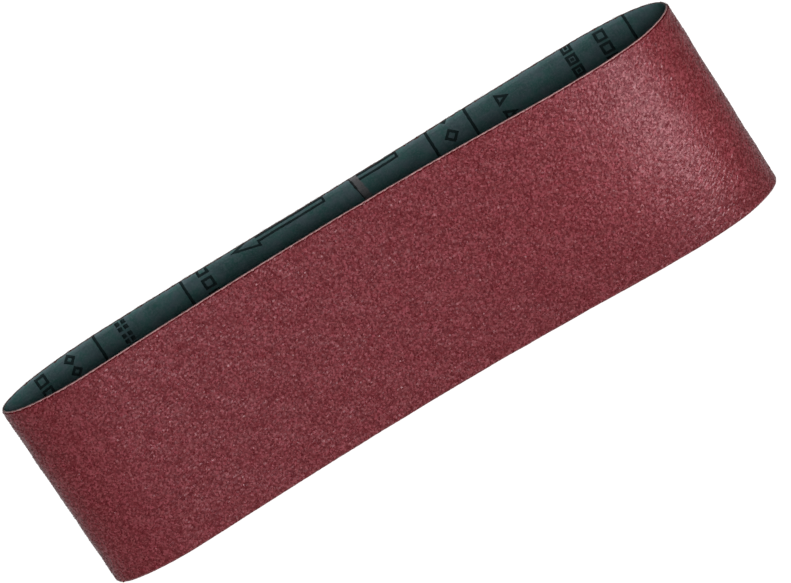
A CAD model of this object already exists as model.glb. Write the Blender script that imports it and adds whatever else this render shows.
"""A sanding belt that stands on one slit edge: its looks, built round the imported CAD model.

The belt is made flat, as the real one is cut, and then wrapped round its resting loop.
A place on it has three coordinates: s runs along the belt from the splice, z across its width,
and depth outward through its thickness from the running face. All of them are in metres.
"""

import math

import bmesh
import bpy
import numpy as np
from mathutils import Matrix, Vector

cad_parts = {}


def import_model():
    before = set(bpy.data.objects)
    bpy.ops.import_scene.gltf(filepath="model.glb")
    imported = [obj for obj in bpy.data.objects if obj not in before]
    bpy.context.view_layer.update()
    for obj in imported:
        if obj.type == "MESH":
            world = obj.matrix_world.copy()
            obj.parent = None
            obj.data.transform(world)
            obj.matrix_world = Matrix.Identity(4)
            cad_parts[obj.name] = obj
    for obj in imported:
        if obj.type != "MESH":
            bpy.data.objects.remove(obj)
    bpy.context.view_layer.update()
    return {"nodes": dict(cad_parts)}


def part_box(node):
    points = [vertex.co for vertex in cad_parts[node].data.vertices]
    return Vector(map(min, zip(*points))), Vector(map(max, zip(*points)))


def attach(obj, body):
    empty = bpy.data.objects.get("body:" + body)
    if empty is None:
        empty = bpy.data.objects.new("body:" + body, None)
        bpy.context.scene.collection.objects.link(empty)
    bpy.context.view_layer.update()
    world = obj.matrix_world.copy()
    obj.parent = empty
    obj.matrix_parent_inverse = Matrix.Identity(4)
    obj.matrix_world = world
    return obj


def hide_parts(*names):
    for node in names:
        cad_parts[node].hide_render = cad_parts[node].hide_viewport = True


MM = 0.001
BODY = "root"
UV_MAP = "belt_metres"

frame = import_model()
rng = np.random.default_rng(533)


# ---------------------------------------------------------------- the loop, from the frame

# Mesh points closer together than this, in metres, are taken as one.
WELD = 1e-6


def cap_outline(node, z):
    """The points round the flat cap that a CAD node has at height z, in order."""
    mesh = frame["nodes"][node].data
    number, places, known = [], [], {}
    for vertex in mesh.vertices:
        key = tuple(round(c / WELD) for c in vertex.co)
        if key not in known:
            known[key] = len(places)
            places.append(np.array(vertex.co))
        number.append(known[key])
    uses = {}
    for face in mesh.polygons:
        corners = [number[v] for v in face.vertices]
        if all(abs(places[c][2] - z) < WELD for c in corners):
            for edge in zip(corners, corners[1:] + corners[:1]):
                key = frozenset(edge)
                uses[key] = uses.get(key, 0) + 1
    beside = {}
    for edge, count in uses.items():
        if count == 1:
            a, b = edge
            beside.setdefault(a, []).append(b)
            beside.setdefault(b, []).append(a)
    first = min(beside)
    order, last = [first], None
    while True:
        onward = [n for n in beside[order[-1]] if n != last]
        last = order[-1]
        if onward[0] == first:
            break
        order.append(onward[0])
    return np.array([places[n][:2] for n in order])


def inner_chain(coat, z):
    """Inner points of a coat at height z, clockwise from above, from the far side of the
    slot that cuts the coat round to its near side. Its two shortest edges are at the slot."""
    points = cap_outline(coat, z)
    lengths = np.linalg.norm(np.roll(points, -1, 0) - points, axis=1)
    i, j = sorted(np.argsort(lengths)[:2])
    sides = points[i + 1 : j + 1], np.concatenate([points[j + 1 :], points[: i + 1]])
    chain = min(sides, key=lambda side: np.linalg.norm(np.diff(side, axis=0), axis=1).sum())
    x, y = chain.T
    clockwise = (x * np.roll(y, -1) - y * np.roll(x, -1)).sum() < 0
    return chain if clockwise else chain[::-1]


def periodic_spline(points, samples):
    """A closed cubic spline through the points, sampled evenly between them."""
    n = len(points)
    h = np.linalg.norm(np.roll(points, -1, 0) - points, axis=1)
    before = np.roll(h, 1)
    slope = (np.roll(points, -1, 0) - points) / h[:, None]
    system = np.zeros((n, n))
    for i in range(n):
        system[i, i - 1] += before[i]
        system[i, i] += 2 * (before[i] + h[i])
        system[i, (i + 1) % n] += h[i]
    bend = np.linalg.solve(system, 6 * (slope - np.roll(slope, 1, 0)))
    start = np.concatenate([[0], np.cumsum(h)])
    t = np.linspace(0, start[-1], samples, endpoint=False)
    k = np.clip(np.searchsorted(start, t, side="right") - 1, 0, n - 1)
    a, b, w = (t - start[k])[:, None], (start[k + 1] - t)[:, None], h[k][:, None]
    p, q = points[k], points[(k + 1) % n]
    m, o = bend[k], bend[(k + 1) % n]
    return (
        m * b**3 / (6 * w)
        + o * a**3 / (6 * w)
        + (p / w - m * w / 6) * b
        + (q / w - o * w / 6) * a
    )


class Loop:
    """The running face's curve, seen from above, by distance along it."""

    def __init__(self, points, samples=24000):
        self.points = periodic_spline(points, samples)
        steps = np.linalg.norm(np.roll(self.points, -1, 0) - self.points, axis=1)
        self.length = steps.sum()
        self.start = np.concatenate([[0], np.cumsum(steps)[:-1]])
        run = np.roll(self.points, -1, 0) - np.roll(self.points, 1, 0)
        run /= np.linalg.norm(run, axis=1)[:, None]
        self.outward = np.stack([-run[:, 1], run[:, 0]], 1)
        self.zero = 0.0

    def find(self, point):
        """Distance along the loop of the place nearest to a point."""
        nearest = np.argmin(np.linalg.norm(self.points - point, axis=1))
        return (self.start[nearest] - self.zero) % self.length

    def _read(self, table, s):
        place = (s + self.zero) % self.length
        return np.stack([np.interp(place, self.start, c, period=self.length) for c in table.T], -1)

    def wrap(self, s, z, depth):
        """Points in the row frame for places on the belt."""
        s, z, depth = np.broadcast_arrays(s, z, depth)
        plan = self._read(self.points, s) + self._read(self.outward, s) * depth[..., None]
        return np.concatenate([plan, z[..., None]], -1)


fill_low, fill_high = (corner.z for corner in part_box("back_fill"))
upper, lower = (inner_chain("back_fill", z) for z in (fill_high, fill_low))
loop = Loop(upper)

# Where the inner ply's tip is at both heights gives the splice's place and lean.
tip_high, tip_low = loop.find(upper[-1]), loop.find(lower[-1])
bare_w = (loop.find(upper[0]) - tip_high) % loop.length
lean = ((tip_high - tip_low + loop.length / 2) % loop.length - loop.length / 2) / (
    fill_high - fill_low
)
loop.zero = (tip_high - lean * (fill_high - fill_low) / 2) % loop.length

belt_low, belt_high = (corner.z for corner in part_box("backing_cloth"))
mid_z = (belt_low + belt_high) / 2
face_y = loop.points[:, 1].max()


def outer_depth(node):
    """How far outside the running face a layer's outer side is."""
    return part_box(node)[1].y - face_y


fill_d = outer_depth("back_fill")
cloth_d = outer_depth("backing_cloth")
make_d = outer_depth("make_coat")
grain_d = outer_depth("abrasive_grain")
size_d = outer_depth("size_coat")
edge_chip = fill_low - belt_low


def at_splice(z):
    """Where the splice's line is at height z, along the belt."""
    return lean * (z - mid_z)


# The seam through the abrasive coats is where the lap ends.
coat = inner_chain("size_coat", fill_high)
lap = loop.find(coat[-1]) - at_splice(fill_high)
seam_w = loop.find(coat[0]) - loop.find(coat[-1])


# ---------------------------------------------------------------- relief of the two faces

def waves(count, shortest, longest, height):
    """A smooth random relief over the belt, as a function of s and z, with no step at s = 0."""
    turns = rng.integers(int(loop.length / longest), int(loop.length / shortest), count)
    across = rng.uniform(-1, 1, count) / shortest
    phase = rng.uniform(0, 2 * math.pi, count)
    share = height * math.sqrt(2 / count)

    def relief(s, z):
        total = 0.0
        for k, c, p in zip(turns, across, phase):
            total = total + np.sin(2 * math.pi * (k * s / loop.length + c * z) + p)
        return share * total

    return relief


SPLICE_RISE = 0.05 * MM

cockle = waves(24, 14 * MM, 90 * MM, 0.05 * MM)
finish_grain = waves(60, 2.2 * MM, 9 * MM, 0.012 * MM)


def finish_relief(s, z):
    """How far the finish is from its even depth. It rises a little over the splice's lap."""
    from_tip = s - at_splice(z)
    from_tip = (from_tip + loop.length / 2) % loop.length - loop.length / 2
    over_lap = np.exp(-((from_tip - lap / 2) / (0.7 * lap)) ** 2)
    return finish_grain(s, z) - SPLICE_RISE * over_lap


# ---------------------------------------------------------------- meshes

def new_piece(name, points, faces, places=None, smooth=True):
    """A mesh object from arrays. places are each point's place along the belt and across it
    or round its section, and become its UV map."""
    mesh = bpy.data.meshes.new(name)
    mesh.from_pydata(points.reshape(-1, 3).tolist(), [], faces)
    if places is not None:
        corner = np.zeros(len(mesh.loops), int)
        mesh.loops.foreach_get("vertex_index", corner)
        layer = mesh.uv_layers.new(name=UV_MAP)
        layer.data.foreach_set("uv", places.reshape(-1, 2)[corner].astype(np.float32).ravel())
    mesh.polygons.foreach_set("use_smooth", [smooth] * len(mesh.polygons))
    piece = bpy.data.objects.new(name, mesh)
    bpy.context.scene.collection.objects.link(piece)
    return piece


def grid_faces(nu, nv, outward, closed_v=False):
    """Quads of a grid of nu x nv points, whose front faces out of the loop or into it."""
    u = np.arange(nu - 1)[:, None]
    v = np.arange(nv if closed_v else nv - 1)[None, :]
    beside = (v + 1) % nv
    quads = np.stack([u * nv + v, (u + 1) * nv + v, (u + 1) * nv + beside, u * nv + beside], -1)
    quads = quads.reshape(-1, 4)
    return (quads[:, ::-1] if outward else quads).tolist()


def belt_grid(start, end, pitch):
    """s and z of a grid that covers a coat from the splice's line + start to + end."""
    rows = round((fill_high - fill_low) / pitch) + 1
    columns = round((end - start) / pitch) + 1
    z = np.linspace(fill_low, fill_high, rows)
    s = np.linspace(start, end, columns)[:, None] + at_splice(z)[None, :]
    return s, np.broadcast_to(z, s.shape).copy()


def finish(piece, slot, material, *nodes):
    """Gives a piece its material and slot, and lets it ride in place of CAD nodes."""
    piece.data.materials.clear()
    piece.data.materials.append(material)
    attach(piece, BODY)
    if nodes:
        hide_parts(*nodes)
    return piece


# ---------------------------------------------------------------- materials

# A Mix node's sockets share names, so its colour form's are told by number: the factor and
# the two colours, and the result.
MIX_COLOUR_INPUTS = (0, 6, 7)
MIX_COLOUR_OUTPUT = 2

FACE_DEEP = (0.038, 0.0002, 0.0005)
FACE_MIDDLE = (0.061, 0.0009, 0.0016)
FACE_PALE = (0.117, 0.011, 0.016)
RED_GLOSS = (1, 0.44, 0.56, 1)
CUT_YARN = (0.33, 0.20, 0.20)
CUT_YARN_SHADE = (0.17, 0.085, 0.083)
BARE_YARN = (0.17, 0.165, 0.17)
BARE_YARN_SHADE = (0.09, 0.09, 0.095)
SOAKED_RIM = (0.060, 0.024, 0.021)
STAINED_CLOTH = (0.060, 0.012, 0.013)
FINISH_DEEP = (0.024, 0.067, 0.068)
FINISH_PALE = (0.045, 0.102, 0.106)
FINISH_SPECK = (0.085, 0.130, 0.135)
INK_DEEP = (0.003, 0.010, 0.011)
INK_WORN = (0.012, 0.026, 0.028)
ADHESIVE_DEEP = (0.004, 0.009, 0.010)
ADHESIVE_PALE = (0.018, 0.022, 0.022)
BLACK, WHITE = (0, 0, 0), (1, 1, 1)

# Spacing of the cloth's ribs that show through the finish, across and along the belt
RIB_PITCH = 1.0851 * MM
CROSS_RIB_PITCH = 1.4797 * MM
# Length of the section's outline, from the rim's inner corner, over which its colours change
RIM_SPAN = 1.5 * MM


class Shader:
    """A new Principled material and short ways to add nodes to it."""

    def __init__(self, name, **inputs):
        self.material = bpy.data.materials.new(name)
        self.material.use_nodes = True
        self.tree = self.material.node_tree
        self.body = self.tree.nodes["Principled BSDF"]
        for key, value in inputs.items():
            self.body.inputs[key.replace("_", " ")].default_value = value

    def add(self, kind, **settings):
        """A new node. Each setting is one of its properties, or else one input's value."""
        node = self.tree.nodes.new("ShaderNode" + kind)
        for key, value in settings.items():
            if hasattr(node, key):
                setattr(node, key, value)
            else:
                node.inputs[key.replace("_", " ")].default_value = value
        return node

    def link(self, source, target):
        self.tree.links.new(source, target)

    def place(self, from_map=False):
        """Object coordinates or, from the UV map, metres along and across the belt."""
        if from_map:
            return self.add("UVMap", uv_map=UV_MAP).outputs["UV"]
        return self.add("TexCoord").outputs["Object"]

    def noise(self, vector, size, detail=2.0, roughness=0.5):
        """Noise whose features are about size metres."""
        node = self.add("TexNoise", Scale=1 / size, Detail=detail, Roughness=roughness)
        self.link(vector, node.inputs["Vector"])
        return node.outputs["Fac"]

    def cells(self, vector, size, output="Color"):
        """Cells of about size metres: a random colour each, or the distance from its middle."""
        node = self.add("TexVoronoi", Scale=1 / size)
        self.link(vector, node.inputs["Vector"])
        return node.outputs[output]

    def bands(self, vector, direction, pitch):
        """Even waves pitch metres apart. At scale 1 a wave texture has 20 waves in 2 pi."""
        scale = 2 * math.pi / 20 / pitch
        node = self.add("TexWave", wave_type="BANDS", bands_direction=direction, Scale=scale)
        self.link(vector, node.inputs["Vector"])
        return node.outputs["Fac"]

    def ramp(self, factor, *stops):
        """A colour ramp; each stop is (place, colour)."""
        node = self.add("ValToRGB")
        elements = node.color_ramp.elements
        while len(elements) < len(stops):
            elements.new(0.5)
        for element, (place, colour) in zip(elements, stops):
            element.position = place
            element.color = (*colour, 1)
        self.link(factor, node.inputs["Fac"])
        return node.outputs["Color"]

    def math(self, operation, a, b):
        """Arithmetic on two values; either may be a number or a socket."""
        node = self.add("Math", operation=operation)
        for socket, value in zip(node.inputs, (a, b)):
            if isinstance(value, (int, float)):
                socket.default_value = value
            else:
                self.link(value, socket)
        return node.outputs["Value"]

    def mix(self, factor, a, b, blend="MIX"):
        """Mixes two colours; any of the three may be a value or a socket."""
        node = self.add("Mix", data_type="RGBA", blend_type=blend)
        sockets = [node.inputs[n] for n in MIX_COLOUR_INPUTS]
        for socket, value in zip(sockets, (factor, a, b)):
            if isinstance(value, (int, float)):
                socket.default_value = value
            elif isinstance(value, tuple):
                socket.default_value = (*value, 1)
            else:
                self.link(value, socket)
        return node.outputs[MIX_COLOUR_OUTPUT]

    def span(self, value, low, high):
        """A value from 0 to 1 rescaled to low to high."""
        node = self.add("MapRange")
        node.inputs["To Min"].default_value = low
        node.inputs["To Max"].default_value = high
        self.link(value, node.inputs["Value"])
        return node.outputs["Result"]

    def bump(self, height, distance, strength=1.0, under=None):
        node = self.add("Bump", Strength=strength, Distance=distance)
        self.link(height, node.inputs["Height"])
        if under is not None:
            self.link(under, node.inputs["Normal"])
        return node.outputs["Normal"]

    def colour(self, socket):
        self.link(socket, self.body.inputs["Base Color"])

    def rough(self, socket):
        self.link(socket, self.body.inputs["Roughness"])

    def normal(self, socket):
        self.link(socket, self.body.inputs["Normal"])


def abrasive_material(name, grain_size, bump_depth):
    """Resin over packed grain: each grain has its own tone, slant and polish. The resin gives
    a broad red gloss, and the size coat a narrower white one, which is stronger on pale grain."""
    m = Shader(name, IOR=1.7, Specular_IOR_Level=0.16, Specular_Tint=RED_GLOSS, Coat_Roughness=0.38)
    where = m.place()
    grain = m.add("SeparateColor")
    m.link(m.cells(where, grain_size), grain.inputs["Color"])
    tone, polish = grain.outputs["Blue"], grain.outputs["Green"]
    blotch = m.noise(where, 1.1 * MM, detail=3, roughness=0.65)
    cloud = m.noise(where, 30 * MM, detail=2)
    level = m.math("ADD", m.math("MULTIPLY", tone, 0.62), m.math("MULTIPLY", blotch, 0.38))
    base = m.ramp(level, (0.18, FACE_DEEP), (0.5, FACE_MIDDLE), (0.84, FACE_PALE))
    base = m.mix(m.span(cloud, 0.0, 0.2), base, FACE_DEEP)
    drift = m.noise(where, 2.5 * MM, detail=3)
    cast = m.ramp(drift, (0.35, (0.94, 1.10, 0.90)), (0.65, (1.06, 0.90, 1.10)))
    m.colour(m.mix(1.0, base, cast, blend="MULTIPLY"))
    m.rough(m.span(polish, 0.42, 0.58))
    m.link(m.span(tone, 0.0, 0.52), m.body.inputs["Coat Weight"])
    heap = m.cells(where, grain_size, output="Distance")
    fine = m.noise(where, 0.16 * MM, detail=1)
    height = m.math("ADD", m.math("MULTIPLY", heap, -0.8), m.math("MULTIPLY", fine, 0.4))
    m.normal(m.bump(height, bump_depth, 0.8))
    return m.material


def finish_material():
    """Grey-green filler over the cloth: the weave shows faintly through it."""
    m = Shader("grey_green_finish", Specular_IOR_Level=0.3)
    flat = m.place(from_map=True)
    where = m.place()
    cloud = m.noise(where, 9 * MM, detail=4, roughness=0.6)
    speck = m.noise(where, 0.7 * MM, detail=3, roughness=0.7)
    base = m.ramp(cloud, (0.32, FINISH_DEEP), (0.68, FINISH_PALE))
    drift = m.noise(where, 4 * MM, detail=4, roughness=0.65)
    cast = m.ramp(drift, (0.38, (0.72, 1.0, 0.92)), (0.62, (1.5, 1.0, 1.12)))
    base = m.mix(1.0, base, cast, blend="MULTIPLY")
    rubbed = m.ramp(speck, (0.45, BLACK), (0.75, (0.8, 0.8, 0.8)))
    m.colour(m.mix(rubbed, base, FINISH_SPECK))
    m.rough(m.span(speck, 0.42, 0.62))
    ribs = m.bands(flat, "Y", RIB_PITCH)
    cross_ribs = m.bands(flat, "X", CROSS_RIB_PITCH)
    weave = m.math("ADD", ribs, m.math("MULTIPLY", cross_ribs, 0.5))
    low = m.bump(speck, 0.04 * MM, 0.5)
    m.normal(m.bump(weave, 0.03 * MM, 0.5, low))
    return m.material


def yarn_colour(m, where, tint, shade):
    """Undyed yarn, seen at cut ends and where the finish is missing, with its fuzz as bump."""
    yarn = m.noise(where, 0.5 * MM, detail=3, roughness=0.7)
    stain = m.noise(where, 4 * MM, detail=3)
    base = m.ramp(yarn, (0.3, shade), (0.66, tint))
    m.normal(m.bump(yarn, 0.08 * MM, 0.8))
    return m.mix(m.span(stain, 0.0, 0.6), base, shade)


def cloth_material():
    """The strip's cloth. The inner half of its upper rim is soaked with finish, the outer
    half is fresh-cut yarn, and its outer side is stained by the resin."""
    m = Shader("slit_cloth", Roughness=0.9, Specular_IOR_Level=0.1, Sheen_Weight=0.1)
    yarn = yarn_colour(m, m.place(), CUT_YARN, CUT_YARN_SHADE)
    flat = m.place(from_map=True)
    girth = m.add("SeparateXYZ")
    m.link(flat, girth.inputs["Vector"])
    wander = m.math("MULTIPLY", m.noise(flat, 2 * MM, detail=3), 0.25 * MM)
    rim = m.add("MapRange", From_Min=belt_high, From_Max=belt_high + RIM_SPAN)
    m.link(m.math("ADD", girth.outputs["Y"], wander), rim.inputs["Value"])
    over = rim.outputs["Result"]
    fresh = m.ramp(over, (0.34, BLACK), (0.42, WHITE), (0.78, WHITE), (0.92, BLACK))
    sides = m.ramp(over, (0.5, SOAKED_RIM), (0.6, STAINED_CLOTH))
    m.colour(m.mix(fresh, sides, yarn))
    return m.material


def bare_material():
    """Cloth with no finish on it, greyed by handling."""
    m = Shader("bare_cloth", Roughness=0.9, Specular_IOR_Level=0.1, Sheen_Weight=0.1)
    m.colour(yarn_colour(m, m.place(), BARE_YARN, BARE_YARN_SHADE))
    return m.material


def ink_material():
    """Dark print, a little worn."""
    m = Shader("print_ink", Specular_IOR_Level=0.12)
    wear = m.noise(m.place(), 0.5 * MM, detail=3, roughness=0.7)
    m.colour(m.ramp(wear, (0.3, INK_DEEP), (0.75, INK_WORN)))
    m.rough(m.span(wear, 0.5, 0.75))
    m.normal(m.bump(wear, 0.02 * MM, 0.5))
    return m.material


def adhesive_material():
    """Nearly black adhesive with a smooth, uneven gloss."""
    m = Shader("splice_adhesive", Specular_IOR_Level=0.25)
    drip = m.noise(m.place(), 1.2 * MM, detail=2)
    m.colour(m.ramp(drip, (0.3, ADHESIVE_DEEP), (0.7, ADHESIVE_PALE)))
    m.rough(m.span(drip, 0.25, 0.5))
    m.normal(m.bump(drip, 0.05 * MM, 0.6))
    return m.material


face_look = abrasive_material("size_resin_face", 0.55 * MM, 0.05 * MM)
grain_look = abrasive_material("proud_grain", 0.8 * MM, 0.03 * MM)
finish_look = finish_material()
cloth_look = cloth_material()
bare_look = bare_material()
ink_look = ink_material()
adhesive_look = adhesive_material()


# ---------------------------------------------------------------- backing cloth

def backing_cloth():
    """The cloth strip with its two slit edges, where weft yarn ends stand out, and with the
    long bevels of its two ends, which lie on each other in the splice. Its UV map runs along
    the belt and round the section: up the inner side, over the rim and down the outer side."""
    column_pitch, yarn_pitch = 0.45 * MM, 0.5 * MM
    face_rows, edge_rows = 24, 7
    # Share of the cloth's thickness that is left at a bevel's tip
    tip_share = 0.03
    columns = round((loop.length + lap) / column_pitch) + 1
    along = np.linspace(0, loop.length + lap, columns)[:, None]
    cloth_t = cloth_d - fill_d
    inner = fill_d + cloth_t * np.clip((along - loop.length) / lap, 0, 1 - tip_share)
    outer = fill_d + cloth_t * np.clip(along / lap, tip_share, 1)

    # The two rims: corners rounded off, and tufts where the weft yarns end.
    corner_round, sunk = 0.10 * MM, 0.03 * MM
    tuft_top, tuft_low = 0.07 * MM, 0.04 * MM
    across = np.linspace(0, 1, edge_rows)[None, :]
    round_off = corner_round * np.abs(2 * across - 1) ** 3
    tuft = 0.5 + 0.5 * np.cos(2 * math.pi * along / yarn_pitch + 2.2 * across)
    tall = rng.uniform(0.3, 1.0, (columns, edge_rows))
    rim_top = belt_high - round_off + tuft_top * tuft * tall - sunk
    rim_low = belt_low + round_off + tuft_low * rng.uniform(0, 1, (columns, edge_rows))
    rim_depth = inner + (outer - inner) * across

    # The section's outline: inner side, upper rim, outer side, lower rim.
    margin = 0.3 * MM
    row_z = np.linspace(belt_low + margin, belt_high - margin, face_rows)
    rising, falling = (np.tile(r, (columns, 1)) for r in (row_z, row_z[::-1]))
    inner_side, outer_side = (np.tile(d, (1, face_rows)) for d in (inner, outer))
    z = np.concatenate([rising, rim_top, falling, rim_low[:, ::-1]], 1)
    depth = np.concatenate([inner_side, rim_depth, outer_side, rim_depth[:, ::-1]], 1)
    over = belt_high + rim_depth
    back = 2 * belt_high + cloth_d - falling
    under = 2 * belt_high + 2 * cloth_d - rim_depth[:, ::-1]
    girth = np.concatenate([rising, over, back, under], 1)
    s = along + at_splice(z)
    count = z.shape[1]
    faces = grid_faces(columns, count, outward=False, closed_v=True)
    faces.append(list(range(count)))
    faces.append(list(range((columns - 1) * count, columns * count))[::-1])
    points = loop.wrap(s, z, depth + cockle(s, z))
    piece = new_piece("backing_cloth_strip", points, faces, np.stack([s, girth], -1))
    return finish(piece, "cloth", cloth_look, "backing_cloth")


def bare_band():
    """The strip of bare cloth at the inner ply's tip, with its woven relief."""
    pitch, yarn_pitch = 0.12 * MM, 0.5 * MM
    spare, rise = 0.3 * MM, 0.045 * MM
    rows = round((belt_high - belt_low) / pitch)
    columns = round((bare_w + 2 * spare) / pitch)
    z = np.linspace(belt_low + edge_chip / 2, belt_high - edge_chip / 2, rows)
    s = np.linspace(-spare, bare_w + spare, columns)[:, None] + at_splice(z)[None, :]
    z = np.broadcast_to(z, s.shape)
    over = np.sin(2 * math.pi * s / yarn_pitch) * np.sin(2 * math.pi * z / yarn_pitch + 0.6)
    weave = 0.035 * MM * over + 0.01 * MM * rng.standard_normal(s.shape)
    points = loop.wrap(s, z, fill_d - rise + weave + cockle(s, z))
    faces = grid_faces(*s.shape, outward=False)
    piece = new_piece("bare_cloth_band", points, faces, np.stack([s, z], -1))
    return finish(piece, "cloth", bare_look)


def edge_fibres(count=900):
    """Loose yarn fibres that lie along both slit edges and stick out a little."""
    ring, stations = 3, 5
    sunk_top, sunk_low = 0.04 * MM, 0.05 * MM
    s0 = rng.uniform(0, loop.length, count)
    on_top = rng.random(count) < 0.6
    length = rng.uniform(0.5, 2.4, count) * MM
    lift = rng.uniform(0.02, 0.35, count) * MM
    sideways = rng.uniform(-0.25, 0.35, count) * MM
    radius = rng.uniform(0.012, 0.028, count) * MM
    depth0 = rng.uniform(fill_d, cloth_d, count)
    t = np.linspace(0, 1, stations)
    points, faces = [], []
    for i in range(count):
        s = s0[i] + length[i] * t
        rise = lift[i] * np.sin(math.pi * (0.15 + 0.75 * t))
        if on_top[i]:
            z = belt_high - sunk_top + rise
        else:
            z = belt_low + sunk_low + 0.2 * rise
        depth = depth0[i] + sideways[i] * t**2
        thin = radius[i] * (1 - 0.5 * t)
        base = len(points)
        for k in range(ring):
            angle = 2 * math.pi * k / ring
            points.extend(zip(s, z + thin * math.cos(angle), depth + thin * math.sin(angle)))
        for k in range(ring):
            onward = (k + 1) % ring
            for j in range(stations - 1):
                a, b = base + k * stations + j, base + onward * stations + j
                faces.append([a, b, b + 1, a + 1])
    s, z, depth = np.array(points).T
    piece = new_piece("edge_fibres", loop.wrap(s, z, depth + cockle(s, z)), faces)
    return finish(piece, "cloth", cloth_look)


# ---------------------------------------------------------------- the coats

def running_finish():
    """The finish on the running face, from the bare gap round to the inner ply's tip."""
    s, z = belt_grid(bare_w, loop.length, 0.9 * MM)
    depth = finish_relief(s, z) + cockle(s, z)
    # All four borders are turned down to the cloth.
    depth[:, [0, -1]] += fill_d
    depth[[0, -1], :] += fill_d
    broken = rng.uniform(-0.06, 0.10, (len(s), 2)) * MM
    z[:, 0] += broken[:, 0]
    z[:, -1] -= broken[:, 1]
    points, faces = loop.wrap(s, z, depth), grid_faces(*s.shape, outward=False)
    piece = new_piece("running_face_finish", points, faces, np.stack([s, z], -1))
    return finish(piece, "back_finish", finish_look, "back_fill")


def abrasive_face():
    """The resin that carries the grain, and its size coat, as one faceted skin. It is broken
    back a little from both slit edges, and the splice's seam crosses it."""
    pitch, sunk = 0.655 * MM, 0.08 * MM
    root = cloth_d - 0.03 * MM
    s, z = belt_grid(lap + seam_w, loop.length + lap, pitch)
    shape = s.shape
    jitter = 0.28 * pitch
    s[1:-1, 1:-1] += rng.uniform(-jitter, jitter, (shape[0] - 2, shape[1] - 2))
    z[1:-1, 1:-1] += rng.uniform(-jitter, jitter, (shape[0] - 2, shape[1] - 2))
    grit = 0.045 * MM * rng.standard_normal(shape)
    depth = size_d - sunk + grit + cockle(s, z)
    broken = np.abs(rng.standard_normal((shape[0], 2))) * 0.14 * MM
    z[:, 0] += 0.3 * broken[:, 0] - 0.9 * edge_chip
    z[:, -1] -= broken[:, 1] + 0.05 * MM
    # All four borders are turned down into the cloth.
    depth[:, [0, -1]] = root + cockle(s[:, [0, -1]], z[:, [0, -1]])
    depth[[0, -1], :] = root + cockle(s[[0, -1], :], z[[0, -1], :])
    points, faces = loop.wrap(s, z, depth), grid_faces(*shape, outward=True)
    piece = new_piece("abrasive_face", points, faces, np.stack([s, z], -1), smooth=False)
    return finish(piece, "size_resin", face_look, "make_coat", "size_coat")


def proud_grains(count=46000):
    """Single grains that stand out of the resin, each a four-faced chip at its own slant."""
    margin, sunk = 0.35 * MM, 0.06 * MM
    z = rng.uniform(belt_low + margin, belt_high - margin, count)
    s = rng.uniform(lap + seam_w + margin, loop.length + lap - margin, count) + at_splice(z)
    corners = np.array([[1, 1, 1], [1, -1, -1], [-1, 1, -1], [-1, -1, 1]]) / math.sqrt(3)
    turn = np.linalg.qr(rng.standard_normal((count, 3, 3)))[0]
    stretch = rng.uniform(0.7, 1.3, (count, 1, 3))
    radius = rng.uniform(0.14, 0.30, (count, 1, 1)) * MM
    chip = (corners[None] * stretch * radius) @ turn
    centre = size_d - sunk - 0.25 * radius[:, 0, 0] + cockle(s, z)
    points = loop.wrap(
        s[:, None] + chip[..., 0], z[:, None] + chip[..., 1], centre[:, None] + chip[..., 2]
    )
    order = np.array([[0, 1, 2], [0, 3, 1], [0, 2, 3], [1, 3, 2]])
    # s, z and depth make left-handed axes, so it's the unmirrored chips that are turned over.
    flipped = np.linalg.det(turn) > 0
    faces = np.arange(count)[:, None, None] * 4 + order
    faces[flipped] = faces[flipped][..., ::-1]
    piece = new_piece("proud_grains", points, faces.reshape(-1, 3).tolist(), smooth=False)
    return finish(piece, "grain", grain_look, "abrasive_grain")


def ragged(count, low, high):
    """A wandering value for each row, between low and high."""
    walk = np.convolve(rng.standard_normal(count + 12), np.hanning(13), "valid")[:count]
    return low + (high - low) * (0.5 + 0.5 * np.tanh(walk / walk.std()))


def adhesive_lines():
    """Adhesive squeezed out of the splice: a bead beside the inner ply's tip, and one in the
    seam at the outer ply's end. For each, the middle, the width, and the depths of its crest
    and its root."""
    rows = 300
    z = np.linspace(fill_low, fill_high, rows)
    beads = (
        (-0.1 * MM, 1.3 * MM, -0.04 * MM, fill_d),
        (lap + seam_w / 2, 0.34 * MM, grain_d, make_d),
    )
    across = np.array([-0.5, -0.3, 0, 0.3, 0.5])[None, :]
    high = np.array([0, 0.7, 1, 0.7, 0])[None, :]
    points, places, faces = [], [], []
    for centre, width, crest, root in beads:
        wide = width * ragged(rows, 0.35, 1.15)[:, None]
        s = centre + wide * across + at_splice(z)[:, None]
        zz = np.broadcast_to(z[:, None], s.shape)
        depth = root + (crest - root) * high * rng.uniform(0.8, 1.05, rows)[:, None]
        base = sum(len(p) for p in points)
        # This grid's rows run up the belt and not along it, which turns its faces over.
        quads = np.array(grid_faces(*s.shape, outward=crest <= root)) + base
        points.append(loop.wrap(s, zz, depth + cockle(s, zz)).reshape(-1, 3))
        places.append(np.stack([s, zz], -1).reshape(-1, 2))
        faces.extend(quads.tolist())
    points, places = np.concatenate(points), np.concatenate(places)
    piece = new_piece("splice_adhesive_lines", points, faces, places)
    return finish(piece, "adhesive", adhesive_look, "splice_adhesive")


# ---------------------------------------------------------------- print on the running face

INK_HEIGHT = 0.04 * MM
# Width of the lines in the label's marks, in the arrows, and of the dividers
STROKE = 1.0 * MM
ARROW_STROKE = 0.85 * MM
DIVIDER_WIDTH = 1.05 * MM
# Longest side of the cells that ink shapes are cut into, so that they follow the loop
CELL = 1.0 * MM
# How far worn borders of the ink are out of place
WEAR = 0.03 * MM
# An arrow's parts, as shares of its width and length
SHAFT_SHARE, HEAD_SHARE = 0.43, 0.3
# Tails or middles that differ by less than this are in one column
SAME_ARROW, SAME_COLUMN = 2 * MM, 4 * MM
# Arrows nearer to a slit edge than this are cut by it
EDGE_CLEAR = 5 * MM


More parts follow.
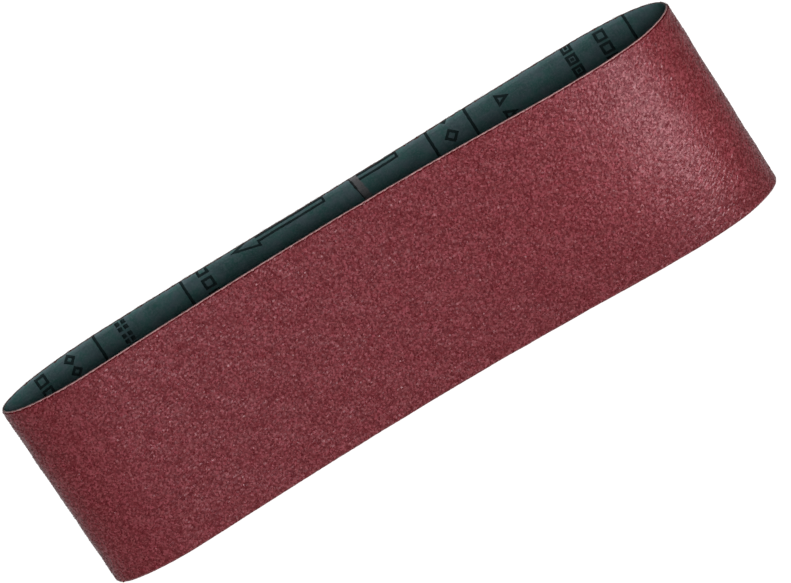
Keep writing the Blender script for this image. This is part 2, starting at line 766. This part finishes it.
def islands(node):
    """For each separate solid of a CAD node: its lowest and highest s, and z."""
    mesh = frame["nodes"][node].data
    shape = bmesh.new()
    shape.from_mesh(mesh)
    bmesh.ops.remove_doubles(shape, verts=shape.verts, dist=WELD)
    seen = set()
    found = []
    for start in shape.verts:
        if start in seen:
            continue
        seen.add(start)
        group, open_ends = [], [start]
        while open_ends:
            vertex = open_ends.pop()
            group.append(vertex)
            for edge in vertex.link_edges:
                other = edge.other_vert(vertex)
                if other not in seen:
                    seen.add(other)
                    open_ends.append(other)
        s = np.array([loop.find(np.array(v.co[:2])) for v in group])
        z = [v.co.z for v in group]
        # A solid that lies across the splice's line is brought together again, and given
        # the turn of the loop in which its middle is.
        s = np.where(s - s[0] > loop.length / 2, s - loop.length, s)
        s = np.where(s[0] - s > loop.length / 2, s + loop.length, s)
        s = s - loop.length * math.floor((s.min() + s.max()) / 2 / loop.length)
        found.append((s.min(), s.max(), min(z), max(z)))
    shape.free()
    return found


def merged(values, within):
    """Sorted values with near-equal ones made one."""
    kept = []
    for value in sorted(values):
        if not kept or value - kept[-1] > within:
            kept.append(value)
    return kept


def inset(outline, width):
    """A convex or arrow-like outline, anticlockwise, moved inward by width with mitred corners."""
    points = np.array(outline, float)
    run = np.roll(points, -1, 0) - points
    run /= np.linalg.norm(run, axis=1)[:, None]
    inward = np.stack([-run[:, 1], run[:, 0]], 1)
    before = np.roll(inward, 1, 0)
    share = 1 + (inward * before).sum(1)
    return points + width * (inward + before) / share[:, None]


class Ink:
    """Flat ink shapes, made of four-cornered pieces, with x along the belt and y across it."""

    def __init__(self):
        self.cells = []

    @staticmethod
    def count(*sides):
        """How many cells the longest of the sides takes."""
        return max(1, *(math.ceil(np.linalg.norm(side) / CELL) for side in sides))

    def patch(self, a, b, c, d):
        """A four-cornered piece, cut into cells short enough to follow the loop."""
        a, b, c, d = (np.array(p, float) for p in (a, b, c, d))
        across = self.count(b - a, c - d)
        up = self.count(d - a, c - b)

        def at(u, v):
            return (a * (1 - u) + b * u) * (1 - v) + (d * (1 - u) + c * u) * v

        for i in range(across):
            for j in range(up):
                u0, u1, v0, v1 = i / across, (i + 1) / across, j / up, (j + 1) / up
                self.cells.append([at(u0, v0), at(u1, v0), at(u1, v1), at(u0, v1)])

    def bar(self, x, y, width, height):
        """A filled rectangle about a middle point."""
        w, h = width / 2, height / 2
        self.patch((x - w, y - h), (x + w, y - h), (x + w, y + h), (x - w, y + h))

    def outline(self, points, stroke=STROKE):
        """The border of an anticlockwise outline."""
        inner = inset(points, stroke)
        outer = np.array(points, float)
        for i in range(len(outer)):
            j = (i + 1) % len(outer)
            self.patch(outer[i], outer[j], inner[j], inner[i])

    def clipped(self, planes):
        """The cells cut to the side of every plane that it points away from; a plane is
        (point, direction)."""
        kept = []
        for cell in self.cells:
            for point, direction in planes:
                height = [float(np.dot(p - point, direction)) for p in cell]
                cut = []
                for k, (p, h) in enumerate(zip(cell, height)):
                    q, g = cell[(k + 1) % len(cell)], height[(k + 1) % len(cell)]
                    if h <= 0:
                        cut.append(p)
                    if h * g < 0:
                        cut.append(p + (q - p) * h / (h - g))
                cell = cut
                if len(cell) < 3:
                    break
            if len(cell) >= 3:
                kept.append(cell)
        return kept

    def piece(self, name, planes, *nodes):
        """Wraps the ink onto the running face, as a raised film with worn borders."""
        flat = bmesh.new()
        for cell in self.clipped(planes):
            flat.faces.new([flat.verts.new((p[0], p[1], 0)) for p in cell])
        bmesh.ops.remove_doubles(flat, verts=flat.verts, dist=0.004 * MM)
        border = [e for e in flat.edges if e.is_boundary]
        worn = {v for e in border for v in e.verts}
        for vertex in sorted(worn, key=lambda v: (round(v.co.x, 7), round(v.co.y, 7))):
            vertex.co.x += rng.normal(0, WEAR)
            vertex.co.y += rng.normal(0, WEAR)
        skirt = bmesh.ops.extrude_edge_only(flat, edges=border)
        for vertex in (g for g in skirt["geom"] if isinstance(g, bmesh.types.BMVert)):
            vertex.co.z = 1.5 * INK_HEIGHT
        flat.verts.index_update()
        points = np.array([v.co for v in flat.verts])
        # The skirt's faces come in no fixed order, so they are sorted.
        faces = sorted([v.index for v in f.verts] for f in flat.faces)
        flat.free()
        s, z = points[:, 0], points[:, 1]
        z = np.clip(z, fill_low, fill_high)
        depth = points[:, 2] - INK_HEIGHT + finish_relief(s, z) + cockle(s, z)
        piece = new_piece(name, loop.wrap(s, z, depth), faces)
        return finish(piece, "ink", ink_look, *nodes)


def print_limits():
    """The print ends at the coat's two borders, and at the splice's bare gap."""
    return [
        (np.array((0, fill_low)), np.array((0, -1))),
        (np.array((0, fill_high)), np.array((0, 1))),
        (np.array((bare_w, mid_z)), np.array((-1, lean))),
        (np.array((loop.length, mid_z)), np.array((1, -lean))),
    ]


def column_middles(node):
    """Where along the belt a node's columns are."""
    return merged([(low + high) / 2 for low, high, _, _ in islands(node)], SAME_COLUMN)


# The two middle rows of arrows are whole; the slit edges cut the outer two.
arrow_solids = islands("direction_arrows")
whole_rows = [
    (low + high) / 2
    for _, _, low, high in arrow_solids
    if low > belt_low + EDGE_CLEAR and high < belt_high - EDGE_CLEAR
]
row_high = max(whole_rows)
row_pitch = row_high - min(whole_rows)
arrow_rows = [row_high + k * row_pitch for k in (1, 0, -1, -2)]
arrow_tails = merged([high for _, high, _, _ in arrow_solids], SAME_ARROW)
whole_arrow = max(arrow_solids, key=lambda a: (a[1] - a[0]) + (a[3] - a[2]))
arrow_length = whole_arrow[1] - whole_arrow[0]
arrow_width = whole_arrow[3] - whole_arrow[2]
line_places = column_middles("divider_lines")
column_places = column_middles("label_blocks")


def arrows():
    """Outlined arrows that show the running direction, in rows up the belt."""
    ink = Ink()
    half_shaft, half_head = SHAFT_SHARE * arrow_width / 2, arrow_width / 2
    for tail in arrow_tails:
        tip = tail - arrow_length
        neck = tip + HEAD_SHARE * arrow_length
        for row in arrow_rows:
            outline = [
                (tail, row - half_shaft), (tail, row + half_shaft), (neck, row + half_shaft),
                (neck, row + half_head), (tip, row), (neck, row - half_head),
                (neck, row - half_shaft),
            ]
            ink.outline(outline, ARROW_STROKE)
    return ink.piece("direction_arrows_print", print_limits(), "direction_arrows")


def dividers():
    """Thin lines right across the belt."""
    ink = Ink()
    for place in line_places:
        ink.bar(place, mid_z, DIVIDER_WIDTH, belt_high - belt_low)
    return ink.piece("divider_lines_print", print_limits(), "divider_lines")


def square(x, y, size):
    """Corners of a square, anticlockwise."""
    h = size / 2
    return [(x - h, y - h), (x + h, y - h), (x + h, y + h), (x - h, y + h)]


def diamond(x, y, size):
    """Corners of a square on its tip, anticlockwise."""
    h = size / 2
    return [(x, y - h), (x + h, y), (x, y + h), (x - h, y)]


def triangle(x, y, size):
    """Corners of a triangle that points along the belt, anticlockwise."""
    h = size / 2
    return [(x - h, y - h), (x + h, y), (x - h, y + h)]


def mark(ink, shape, x, y, size):
    """One plain label mark, as big as size, about a middle point."""
    if shape == "open square":
        ink.outline(square(x, y, size))
    elif shape == "open diamond":
        ink.outline(diamond(x, y, size))
    elif shape == "open triangle":
        ink.outline(triangle(x, y, size))
    elif shape == "diamond":
        ink.patch(*diamond(x, y, size))
    elif shape == "target":
        ink.outline(square(x, y, size))
        ink.bar(x, y, 0.3 * size, 0.3 * size)
    elif shape == "four squares":
        for dx in (-0.27, 0.27):
            for dy in (-0.27, 0.27):
                ink.bar(x + dx * size, y + dy * size, 0.4 * size, 0.4 * size)


# The label's columns, in turn round the belt: the mark, its size, and the height of the
# first one and the step down to the next, in millimetres.
LABEL_COLUMNS = [
    ("open diamond", 5.6, 68.9, 7.6),
    ("open triangle", 5.0, 70.9, 6.6),
    ("target", 3.9, 74.2, 4.7),
    ("open square", 4.2, 71.9, 5.1),
    ("open diamond", 4.6, 72.4, 5.0),
    ("four squares", 4.0, 72.6, 5.0),
    ("open square", 4.2, 69.3, 5.4),
    ("diamond", 3.6, 71.0, 5.0),
]
# Every WORD-th place of a column is empty, as between words.
WORD = 5


def label():
    """Plain marks in columns across the belt, where the maker's lettering would be."""
    ink = Ink()
    for number, place in enumerate(column_places):
        shape, size, first, step = LABEL_COLUMNS[number % len(LABEL_COLUMNS)]
        for k in range(-1, math.ceil(first / step)):
            if k % WORD != WORD - 1 or k < 0:
                mark(ink, shape, place, (first - k * step) * MM, size * MM)
    return ink.piece("label_marks_print", print_limits(), "label_blocks")


backing_cloth()
bare_band()
edge_fibres()
running_finish()
abrasive_face()
proud_grains()
adhesive_lines()
arrows()
dividers()
label()


# ---------------------------------------------------------------- stage, light and camera

FLOOR_RADIUS, FLOOR_SIDES = 20, 96
FLOOR_GLOW = 0.98
FLOOR_GREY = (0.25, 0.25, 0.25, 1)


def floor():
    """A round floor that glows, so that it is evenly white and darkens only a little in
    shadow."""
    mesh = bpy.data.meshes.new("floor")
    angles = np.linspace(0, 2 * math.pi, FLOOR_SIDES, endpoint=False)
    ring = [(FLOOR_RADIUS * math.cos(a), FLOOR_RADIUS * math.sin(a), 0) for a in angles]
    mesh.from_pydata(ring, [], [list(range(FLOOR_SIDES))])
    obj = bpy.data.objects.new("floor", mesh)
    bpy.context.scene.collection.objects.link(obj)
    m = Shader("pale_floor", Roughness=0.9, Specular_IOR_Level=0.0, Base_Color=FLOOR_GREY)
    m.body.inputs["Emission Color"].default_value = (1, 1, 1, 1)
    m.body.inputs["Emission Strength"].default_value = FLOOR_GLOW
    mesh.materials.append(m.material)


def soft_light(name, place, aim, width, height, power):
    """A rectangular lamp, turned to a point; sizes in metres and power in watts."""
    data = bpy.data.lights.new(name, "AREA")
    data.shape = "RECTANGLE"
    data.size, data.size_y = width, height
    data.energy = power
    obj = bpy.data.objects.new(name, data)
    bpy.context.scene.collection.objects.link(obj)
    obj.location = place
    obj.rotation_euler = (Vector(aim) - Vector(place)).to_track_quat("-Z", "Y").to_euler()
    obj.visible_camera = False


def camera():
    """The camera of the reference view: 24.3 degrees above the floor, 4.2 degrees to the
    right of square on, and turned about its own axis."""
    elevation, azimuth, roll = (math.radians(a) for a in (24.328, 4.226, -33.099))
    distance, focal_length, sensor_width = 2.9481, 404.01, 36
    back = Vector(
        (
            math.sin(azimuth) * math.cos(elevation),
            -math.cos(azimuth) * math.cos(elevation),
            math.sin(elevation),
        )
    )
    right = Vector((math.cos(azimuth), math.sin(azimuth), 0))
    up = back.cross(right)
    aim = Vector((0.346 * MM, -0.271 * MM, mid_z)) + right * 1.713 * MM - up * 0.207 * MM
    data = bpy.data.cameras.new("camera")
    data.sensor_width = sensor_width
    data.lens = focal_length
    data.clip_start, data.clip_end = 0.05, 60
    obj = bpy.data.objects.new("camera", data)
    bpy.context.scene.collection.objects.link(obj)
    across = right * math.cos(roll) + up * math.sin(roll)
    upward = up * math.cos(roll) - right * math.sin(roll)
    axes = Matrix((across, upward, back)).transposed()
    obj.matrix_world = Matrix.Translation(aim + back * distance) @ axes.to_4x4()
    bpy.context.scene.camera = obj


def world():
    """A weak, even white light from all round."""
    sky = bpy.data.worlds.new("studio")
    bpy.context.scene.world = sky
    sky.use_nodes = True
    shade = sky.node_tree.nodes["Background"]
    shade.inputs["Color"].default_value = (1, 1, 1, 1)
    shade.inputs["Strength"].default_value = 0.08


floor()
world()
camera()
# Two lamps far off in front, one behind, and a small one on the floor that faces up, which
# makes the sheen near the right end.
belt_middle = (0, 0, 0.05)
soft_light("front_key", (0.42, -1.95, 0.5), belt_middle, 0.5, 0.84, 32)
soft_light("low_key", (0.35, -1.97, 0.12), belt_middle, 0.5, 0.22, 26)
soft_light("low_sheen", (0.121, -0.13, 0.001), (0.121, -0.13, 1), 0.04, 0.15, 0.19)
soft_light("back_fill", (-0.5, 1.95, 0.5), belt_middle, 1.2, 0.8, 40)
bpy.context.scene.view_settings.view_transform = "Standard"
